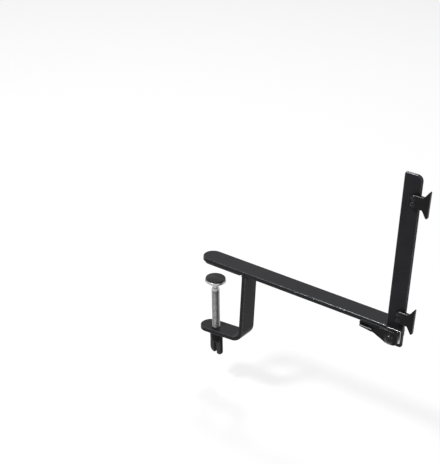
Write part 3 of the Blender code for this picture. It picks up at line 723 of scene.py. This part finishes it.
# %% Ball end and shank
NECK = 0.0023
NECK_FOOT = 0.0008       # heights above the thread's top
FLARE_FOOT = 0.0002
FLARE_OVER = 0.0001      # the flare stands this far out from the root
COLLAR_EDGE = 0.0006     # below the thread's top
COLLAR_UNDER = 0.0002    # the collar is this much smaller than the crests
COLLAR_TURNS = 1.6       # it fills the groove where the thread starts
SCREW_END = -0.0124      # from the screw's hole, along the screw


def arc(radius, centre, start, end, steps=12):
    """Points of an arc as (radius, height), with its angles counted in degrees from straight up."""
    angles = [math.radians(start + (end - start) * step / steps) for step in range(steps + 1)]
    return [(radius * math.sin(angle), centre + radius * math.cos(angle)) for angle in angles]


collar_radius = CREST - COLLAR_UNDER
collar_low = thread_top - COLLAR_TURNS * PITCH
neck_angle = 180 - math.degrees(math.asin(NECK / BALL))
ball_end = turned(arc(BALL, ball_up, 0, neck_angle) + [
    (NECK, thread_top + NECK_FOOT), (ROOT + FLARE_OVER, thread_top + FLARE_FOOT),
    (collar_radius, thread_top - COLLAR_EDGE), (collar_radius, collar_low), (0, collar_low)], steps=48)
piece("ball_end", on_screw(ball_end), zinc, "zinc_steel", "screw", "clamp_screw")

shank = turned(rod(CREST, thread_top - PITCH * TURNS, SCREW_END), steps=40)
piece("plain_shank", on_screw(shank), zinc, "zinc_steel", "screw", "clamp_screw")

# %% [markdown]
# ## Swivel pad
#
# The pad is a turned cup that is crimped over the ball. The ball lets it lie level while the screw leans,
# and stay still while the screw turns. A rubber disc is let into its face. Both are half sections, spun,
# with rolled rims.

# %% Swivel pad
BALL_GAP = 0.0003
CUP_PLATE = 0.0022
CUP_SKIRT = 0.0056
CUP_RIM = 0.0004
SKIRT_FLARE = 0.0008     # the skirt widens by this much under the plate
SKIRT_EDGE = 0.0006      # depths below the plate
SKIRT_START = 0.0016
CRIMP_RISE = 0.0008
CRIMP_WALL = 0.0006
cup_radius = (swivel_high.x - swivel_low.x) / 2
socket = BALL + BALL_GAP
plate_low = swivel_high.z - CUP_PLATE
rim_angle = math.degrees(math.acos((swivel_low.z - ball_z) / socket))
mouth = socket * math.sin(math.radians(rim_angle))


def under_face(bm):
    """Moves a shape that was turned about the origin to the pad's own axis."""
    bmesh.ops.translate(bm, verts=bm.verts[:], vec=(pad_x, 0, 0))
    return bm


cup = turned([
    (0, swivel_high.z), (cup_radius, swivel_high.z), (cup_radius, plate_low),
    (CUP_SKIRT + SKIRT_FLARE, plate_low - SKIRT_EDGE), (CUP_SKIRT, plate_low - SKIRT_START),
    (CUP_SKIRT, swivel_low.z + CRIMP_RISE), (mouth + CRIMP_WALL, swivel_low.z)]
    + arc(socket, ball_z, rim_angle, 0))
round_rims(cup, CUP_RIM, least=50)
piece("swivel_cup", under_face(cup), zinc, "zinc_steel", "pad", "swivel_pad")

face_low, face_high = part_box("pad_face")
disc = turned(rod((face_high.x - face_low.x) / 2, face_high.z, face_low.z))
round_rims(disc, CUP_RIM)
piece("rubber_disc", under_face(disc), rubber, "black_rubber", "pad", "pad_face")

# %% [markdown]
# ## Wing knob
#
# The knob under the foot is moulded: a round hub holds the screw, and a flat tongue with a slot hangs from
# it for thumb and finger. Each half of the tongue is a plate with one wide corner and rolled rims. The hub
# is turned, and the three are joined to one skin, so that no inner walls are left.

# %% Knob's hub
HUB = 0.0064
HUB_TOP = -0.0032        # heights are from the screw's hole, along the screw
HUB_LOW = -0.0146
HUB_BAND = 0.0010
HUB_TAPER = 0.0006
HUB_RIM = 0.0005
NOSE_RISE = 0.0012
NOSE_IN = 0.0020
knob = turned([
    (0, HUB_TOP), (HUB, HUB_TOP), (HUB, HUB_TOP - HUB_BAND), (HUB - HUB_TAPER, HUB_LOW + NOSE_RISE),
    (HUB - NOSE_IN, HUB_LOW), (0, HUB_LOW)], steps=56)
round_rims(knob, HUB_RIM, least=25)
print("hub:", len(knob.faces), "faces")

# %% Knob's tongue and bore
TONGUE_THICK = 0.0032
TONGUE_SLOT = 0.0032
TONGUE_SPAN = 0.0174
TONGUE_TOP = -0.0060
TONGUE_LOW = -0.0280
TONGUE_TURN = math.radians(-18)
SLOT_CORNER = 0.0010
PRONG_CORNER = 0.0045
SHOULDER_CORNER = 0.0020
PRONG_RIM = 0.0008
BORE_GAP = 0.0003        # between the screw's end and the bore's
FACE_FRONT = Matrix.Rotation(math.pi / 2, 4, "X")


def to_front(bm, x=0.0, z=0.0):
    """Stands a shape drawn in its own XY up to face the viewer, so its height runs along -Y."""
    bmesh.ops.transform(bm, matrix=Matrix.Translation((x, 0, z)) @ FACE_FRONT, verts=bm.verts[:])
    return bm


for side in (-1, 1):
    inner = side * TONGUE_SLOT / 2
    outer = side * TONGUE_SPAN / 2
    half_tongue = [
        (inner, TONGUE_TOP, 0), (inner, TONGUE_LOW, SLOT_CORNER),
        (outer, TONGUE_LOW, PRONG_CORNER), (outer, TONGUE_TOP, SHOULDER_CORNER)]
    prong = to_front(round_rims(plate(half_tongue, -TONGUE_THICK / 2, TONGUE_THICK / 2), PRONG_RIM, steps=4))
    bmesh.ops.rotate(prong, cent=(0, 0, 0), matrix=Matrix.Rotation(TONGUE_TURN, 3, "Z"), verts=prong.verts[:])
    bmesh.ops.recalc_face_normals(prong, faces=prong.faces[:])
    knob = carve(knob, prong, "UNION")
bore = turned(rod(SCREW_HOLE, 0, SCREW_END - BORE_GAP), steps=40)
piece("moulded_knob", on_screw(carve(knob, bore)), nylon, "black_nylon", "screw", "wing_knob")

# %% [markdown]
# ## Post
#
# The post is a plate of 16.5 by 3 mm with a generous outer corner at its top. It has one hole for the pivot
# bolt and four for the hooks' rivets. The rivets' tails lie flush at the back, so those four holes are
# countersunk there: the drill is a turned shape that flares to a cone.

# %% Post
BOLT_HOLE = 0.0028
RIVET_HOLE = 0.0018
RIVET_SINK = 0.0008
POST_RIM = 0.0011
POST_CORNERS = (0.0030, 0.0025, 0.0052, 0.0022)   # inner foot, outer foot, outer top, inner top
THROUGH = 0.05           # half the length of a drill that goes right through
post_low, post_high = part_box("post_plate")
post_back = -post_high.y
pivot_x, _, pivot_z = joints["post_fold"]["pos_m"]
pivot = [(pivot_x, pivot_z)]
rivet_nodes = [f"{hook}_hook_rivet_{end}" for hook in ("upper", "lower") for end in ("top", "bottom")]
rivet_boxes = {node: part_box(node) for node in rivet_nodes}
rivet_places = {node: (low + high) / 2 for node, (low, high) in rivet_boxes.items()}
bolt_drill = rod(BOLT_HOLE, THROUGH, -THROUGH)
rivet_drill = [
    (0, THROUGH), (RIVET_HOLE, THROUGH), (RIVET_HOLE, post_back + RIVET_SINK),
    (RIVET_HOLE + 2 * RIVET_SINK, post_back - RIVET_SINK), (0, post_back - RIVET_SINK)]


def drilled(bm, places, profile):
    """Cuts a flat-lying plate with a turned tool at each (x, y) place."""
    for x, y in places:
        tool = turned(profile, steps=48)
        bmesh.ops.translate(tool, verts=tool.verts[:], vec=(x, y, 0))
        bm = carve(bm, tool)
    return bm


post = plate(rectangle(post_low.xz, post_high.xz, POST_CORNERS), post_back, -post_low.y, arc_steps=12)
post = drilled(round_rims(post, POST_RIM, steps=5), pivot, bolt_drill)
post = to_front(drilled(post, [p.xz for p in rivet_places.values()], rivet_drill))
piece("coated_post", post, coat, "black_powder_coat", "post", "post_plate")

# %% [markdown]
# ## Cord hooks and rivets
#
# Each hook is a tab with a fin outside the post. The fin's two barbs keep what is looped over them from
# slipping off. It is a plate again, but moulded, so its rims are crisp chamfers, which mirror a lamp in one
# clear line. They stay narrower than the barbs' tips are round. Two domed rivets hold it.

# %% Cord hooks
HOOK_RIM = 0.0003
FIN_HALF = 0.0126
FIN_OUT = 0.0098         # from the post's edge to the fin's outer edge
FIN_WIDE = 0.0020        # at its lower barb
FIN_SLANT = 0.0003
BARB_ROUND = 0.0008
POINT_ROUND = 0.0007     # at the upper barb, which comes to a point
TAB_HALF = 0.0057
TAB_SINK = 0.0007        # the tab sits this far below the fin's middle
TAB_ROUND = 0.0052
NECK_ROUND = 0.0016
NECK_LOW = 0.0040        # from the post's edge to where the fin spreads
NECK_HIGH = 0.0046
post_edge = post_high.x
fin_x = post_edge + FIN_OUT


def cord_hook(node):
    """Tab on the post with a fin outside it, drilled for its two rivets."""
    low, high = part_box(node)
    centre = low.z + FIN_HALF - TAB_SINK
    fin_low, fin_high = low.z, low.z + 2 * FIN_HALF
    side = [
        (low.x, centre - TAB_HALF, TAB_ROUND), (post_edge + NECK_LOW, centre - TAB_HALF, NECK_ROUND),
        (fin_x - FIN_WIDE, fin_low, BARB_ROUND), (fin_x - FIN_SLANT, fin_low, BARB_ROUND),
        (fin_x, fin_high, POINT_ROUND),
        (post_edge + NECK_HIGH, centre + TAB_HALF, NECK_ROUND), (low.x, centre + TAB_HALF, TAB_ROUND)]
    pair = [p.xz for name, p in rivet_places.items() if name.startswith(node.split("_")[0])]
    shape = round_rims(plate(side, -high.y, -low.y), HOOK_RIM, steps=1)
    return to_front(drilled(shape, pair, rod(RIVET_HOLE, THROUGH, -THROUGH)))


for node in ("upper_cord_hook", "lower_cord_hook"):
    piece(node.replace("cord", "moulded"), cord_hook(node), nylon, "black_nylon", "post", node)

# %% Rivets
PIN = 0.0015
RIVET_HEAD = 0.0024
RIVET_RISE = 0.0010
TAIL_GAP = 0.0001        # between the tail's cone and its countersink


def low_dome(reach, rise, top, steps):
    """Points of a low dome from its top out to its edge, as (radius, height)."""
    ball = (reach * reach + rise * rise) / (2 * rise)
    return arc(ball, top - ball, 0, math.degrees(math.asin(reach / ball)), steps)


for node, (low, high) in rivet_boxes.items():
    front, tail = -low.y, -high.y
    rivet = turned(low_dome(RIVET_HEAD, RIVET_RISE, front, steps=8) + [
        (PIN, front - RIVET_RISE), (PIN, tail + RIVET_SINK), (PIN + RIVET_SINK - TAIL_GAP, tail), (0, tail)],
        steps=40)
    to_front(rivet, rivet_places[node].x, rivet_places[node].z)
    piece(node.replace("rivet", "stud"), rivet, oxide, "blackened_steel", "post", node)

# %% [markdown]
# ## Friction washer
#
# A square zinc washer lies between the post and the lever, and shows as a bright sliver beside the
# lever's hub. Square, so that it can't turn with the lever. It is stamped: rims rolled on both sides.

# %% Friction washer
WASHER_RIM = 0.0003
WASHER_CORNER = 0.0010
washer_low, washer_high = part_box("friction_washer")
washer_side = rectangle(washer_low.xz, washer_high.xz, [WASHER_CORNER] * 4)
washer = round_rims(plate(washer_side, -washer_high.y, -washer_low.y), WASHER_RIM)
washer = to_front(drilled(washer, pivot, bolt_drill))
piece("square_washer", washer, zinc, "zinc_steel", "post", "friction_washer")

# %% [markdown]
# ## Lock lever
#
# The lever squeezes the post when it is swung up. It is moulded with a flat blade, a round hub about the
# bolt, and a raised lip for the finger below a shallow scoop near its tip. Blade and lip are plates, the hub
# is turned, and Booleans cut the scoop and join the rest to one skin. The brass insert inside keeps its
# solid, as the bolt's head covers it, and gets a better finish.

# %% Lever's blade
LEVER_RIM = 0.0009
LEVER_REACH = 0.0308     # from the pivot to the tip
HEEL_REACH = 0.0165      # from the pivot to the lip's heel, where the blade deepens
BLADE_FRONT = 0.0220
BLADE_BACK = 0.0188
TIP_SLANT = 0.0012
TIP_DEPTH = 0.0056       # depths are from the lever's straight upper edge
TIP_CORNER = 0.0022
HEEL_DEPTH = 0.0072
HEEL_ROUND = 0.0150
BELLY_REACH = 0.0030     # from the pivot to where the lower edge turns level
BELLY_ROUND = 0.0080
LOWER_CORNER = 0.0045
UPPER_CORNER = 0.0040
lever_low, lever_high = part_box("lock_lever")
lever_top = lever_high.z
tip_x = pivot_x - LEVER_REACH
heel_x = pivot_x - HEEL_REACH
blade_side = [
    (tip_x, lever_top, TIP_CORNER), (tip_x + TIP_SLANT, lever_top - TIP_DEPTH, TIP_CORNER),
    (heel_x, lever_top - HEEL_DEPTH, HEEL_ROUND), (pivot_x - BELLY_REACH, lever_low.z, BELLY_ROUND),
    (lever_high.x, lever_low.z, LOWER_CORNER), (lever_high.x, lever_top, UPPER_CORNER)]
lever = to_front(round_rims(plate(blade_side, BLADE_BACK, BLADE_FRONT, arc_steps=12), LEVER_RIM, steps=4))
print("blade:", len(lever.faces), "faces")

# %% Lever's scoop
SCOOP_DEPTH = 0.0012
SCOOP_TIP = 0.0042       # depths of its floor's lower edge
SCOOP_HEEL = 0.0044
SCOOP_IN = 0.0006        # it ends in a slope that starts this far in from the heel
SLOPE_IN = 0.0080
SCOOP_ROUND = 0.0010
SCOOP_RIM = 0.0005
PAST_EDGE = 0.0010       # the cutting shape goes past the blade by these
PAST_FRONT = 0.0050
scoop_left = tip_x - PAST_EDGE
scoop_top = lever_top + PAST_EDGE
scoop_side = [
    (scoop_left, lever_top - SCOOP_TIP, 0), (heel_x + SCOOP_IN, lever_top - SCOOP_HEEL, SCOOP_ROUND),
    (heel_x + SLOPE_IN, scoop_top, 0), (scoop_left, scoop_top, 0)]
scoop = round_rims(plate(scoop_side, BLADE_FRONT - SCOOP_DEPTH, BLADE_FRONT + PAST_FRONT), SCOOP_RIM)
lever = carve(lever, to_front(scoop))
print("blade with its scoop:", len(lever.faces), "faces")

# %% Lever's hub and lip
INSERT_HOLE = 0.0043
LEVER_HUB = 0.0058
BOSS_FRONT = 0.0226
BOSS_TAPER = 0.0006
BOSS_SLOPE = 0.0016
BOSS_RIM = 0.0004
LIP_ROUND = 0.0007
LIP_RIM = 0.0005
LIP_ROOT = 0.0007        # it starts this far in front of the blade's back
LIP_TIP_LOW = (0.0018, 0.0050)      # inwards from the tip, and the depth
LIP_HEEL_LOW = (-0.0005, 0.0066)    # inwards from the heel, and the depth
LIP_HEEL_HIGH = (0.0003, 0.0036)
LIP_TIP_HIGH = (0.0014, 0.0034)
hub_back = -lever_high.y
hub = turned([
    (0, BOSS_FRONT), (LEVER_HUB - BOSS_TAPER, BOSS_FRONT), (LEVER_HUB, BOSS_FRONT - BOSS_SLOPE),
    (LEVER_HUB, hub_back), (0, hub_back)], steps=56)
hub = to_front(round_rims(hub, BOSS_RIM, least=15), pivot_x, pivot_z)
lip_corners = ((tip_x, LIP_TIP_LOW), (heel_x, LIP_HEEL_LOW), (heel_x, LIP_HEEL_HIGH), (tip_x, LIP_TIP_HIGH))
lip_side = [(x + inwards, lever_top - depth, LIP_ROUND) for x, (inwards, depth) in lip_corners]
lip = to_front(round_rims(plate(lip_side, BLADE_BACK + LIP_ROOT, -lever_low.y), LIP_RIM, steps=1))
lever = carve(lever, hub, "UNION")
lever = carve(lever, lip, "UNION")
hole = turned(rod(INSERT_HOLE, THROUGH, 0), steps=48)
lever = carve(lever, to_front(hole, pivot_x, pivot_z))
piece("moulded_lever", lever, nylon, "black_nylon", "lever", "lock_lever")
frame["nodes"]["lever_insert"].material_slots[0].material = brass

# %% [markdown]
# ## Pivot: lug, bolt, spring washer and nut
#
# A lug welded under the arm carries the pivot. The bolt has a low domed head, and at the back a split
# spring washer and a lock nut keep it tight. The hexagon's corners are turned off by a cone, as on every
# bought nut, by intersecting a six-sided bar with a turned shape. The spring washer is a square section spun
# almost once round, with a small step along the axis.

# %% Lug
LUG_RIM = 0.0004
LUG_ROUND = 0.0063
LUG_DROP = 0.0030        # its left edge ends this far below the pivot
LUG_CORNER = 0.0007
SLOPE_REACH = 0.0070     # from the pivot to where its lower edge turns level
SLOPE_ROUND = 0.0060
ARM_GAP = 0.0003         # between the arm's cut end and the part of the lug that rises beside it
STEP_CORNER = 0.0010
lug_low, lug_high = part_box("post_lug")
lug_bottom = pivot_z - LUG_ROUND
lug_end = LUG_ROUND * NEAR_ROUND
step_x = arm_high.x + ARM_GAP
lug_side = [
    (lug_low.x, hook_high.z, 0), (lug_low.x, pivot_z - LUG_DROP, LUG_CORNER),
    (pivot_x - SLOPE_REACH, lug_bottom, SLOPE_ROUND), (lug_high.x, lug_bottom, lug_end),
    (lug_high.x, lug_high.z, lug_end), (step_x, lug_high.z, STEP_CORNER), (step_x, hook_high.z, 0)]
lug = round_rims(plate(lug_side, -lug_high.y, -lug_low.y), LUG_RIM)
lug = to_front(drilled(lug, pivot, bolt_drill))
piece("coated_lug", lug, coat, "black_powder_coat", "frame", "post_lug")

# %% Bolt
BOLT = 0.0025
BOLT_CHAMFER = 0.0005
HEAD_RISE = 0.0024
HEAD_UNDERCUT = 0.0001
bolt_low, bolt_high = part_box("pivot_bolt")
head_radius = (bolt_high.x - bolt_low.x) / 2
bolt_front, bolt_end = -bolt_low.y, -bolt_high.y
under_head = bolt_front - HEAD_RISE
bolt = turned(low_dome(head_radius, HEAD_RISE, bolt_front, steps=14) + [
    (head_radius - HEAD_UNDERCUT, under_head), (BOLT, under_head), (BOLT, bolt_end + BOLT_CHAMFER),
    (BOLT - BOLT_CHAMFER, bolt_end), (0, bolt_end)], steps=56)
piece("domed_bolt", to_front(bolt, pivot_x, pivot_z), oxide, "blackened_steel", "frame", "pivot_bolt")

# %% Spring washer
SPLIT = math.radians(8)
SPRING_LIFT = 0.0002
SPRING_RIM = 0.0002
COIL_STEPS = 48
spring_low, spring_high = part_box("spring_washer")
spring_outer = (spring_high.x - spring_low.x) / 2
spring_back, spring_front = -spring_high.y, -spring_low.y
square = [
    (BOLT_HOLE, spring_back), (spring_outer, spring_back),
    (spring_outer, spring_front - SPRING_LIFT), (BOLT_HOLE, spring_front - SPRING_LIFT)]
coil = bmesh.new()
first = coil.faces.new([coil.verts.new((radius, 0, height)) for radius, height in square])
bmesh.ops.spin(
    coil, geom=[first] + first.edges[:] + first.verts[:], cent=(0, 0, 0), axis=(0, 0, 1),
    angle=2 * math.pi - SPLIT, dvec=(0, 0, SPRING_LIFT / COIL_STEPS), steps=COIL_STEPS)
round_rims(coil, SPRING_RIM, steps=2)
piece("split_washer", to_front(coil, pivot_x, pivot_z), zinc, "zinc_steel", "frame", "spring_washer")

# %% Lock nut
FLATS = 0.008
HEX_TURN = math.radians(30)
CHAMFER = 0.0005
CONE_REACH = 3.5         # the cone narrows by this many chamfers
NUT_COLLAR = 0.0035
NUT_COLLAR_HEIGHT = 0.0012
NUT_COLLAR_RIM = 0.0006
nut_low, nut_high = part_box("lock_nut")
nut_back, nut_front = -nut_high.y, -nut_low.y
shoulder = nut_back + NUT_COLLAR_HEIGHT
corner = FLATS / math.sqrt(3)
hexagon = bmesh.new()
bmesh.ops.create_circle(
    hexagon, segments=6, radius=corner, cap_ends=True,
    matrix=Matrix.Translation((0, 0, shoulder)) @ Matrix.Rotation(HEX_TURN, 4, "Z"))
drawn_out(hexagon, hexagon.faces[:], (0, 0, nut_front - shoulder))
bmesh.ops.recalc_face_normals(hexagon, faces=hexagon.faces[:])
narrow, wide = corner - CONE_REACH * CHAMFER, corner + CHAMFER
above_nut, below_nut = nut_front + CHAMFER / 2, shoulder - CHAMFER / 2
lathe = turned([
    (0, above_nut), (narrow, above_nut), (wide, nut_front - CHAMFER), (wide, shoulder + CHAMFER),
    (narrow, below_nut), (0, below_nut)], steps=50)
nut = carve(hexagon, lathe, "INTERSECT")
nut_collar = turned(rod(NUT_COLLAR, nut_front - CHAMFER, nut_back), steps=48)
nut = carve(nut, round_rims(nut_collar, NUT_COLLAR_RIM, steps=4), "UNION")
nut = carve(nut, turned(bolt_drill, steps=48))
piece("hex_lock_nut", to_front(nut, pivot_x, pivot_z), zinc, "zinc_steel", "frame", "lock_nut")

# %% [markdown]
# ## Measure and finish
#
# The dressed model's size is measured over all the shown pieces. The dressed model may
# not outgrow the solids.

# %% Sizes
low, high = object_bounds()
print("size:", [round(v * 1000, 1) for v in high - low], "mm")
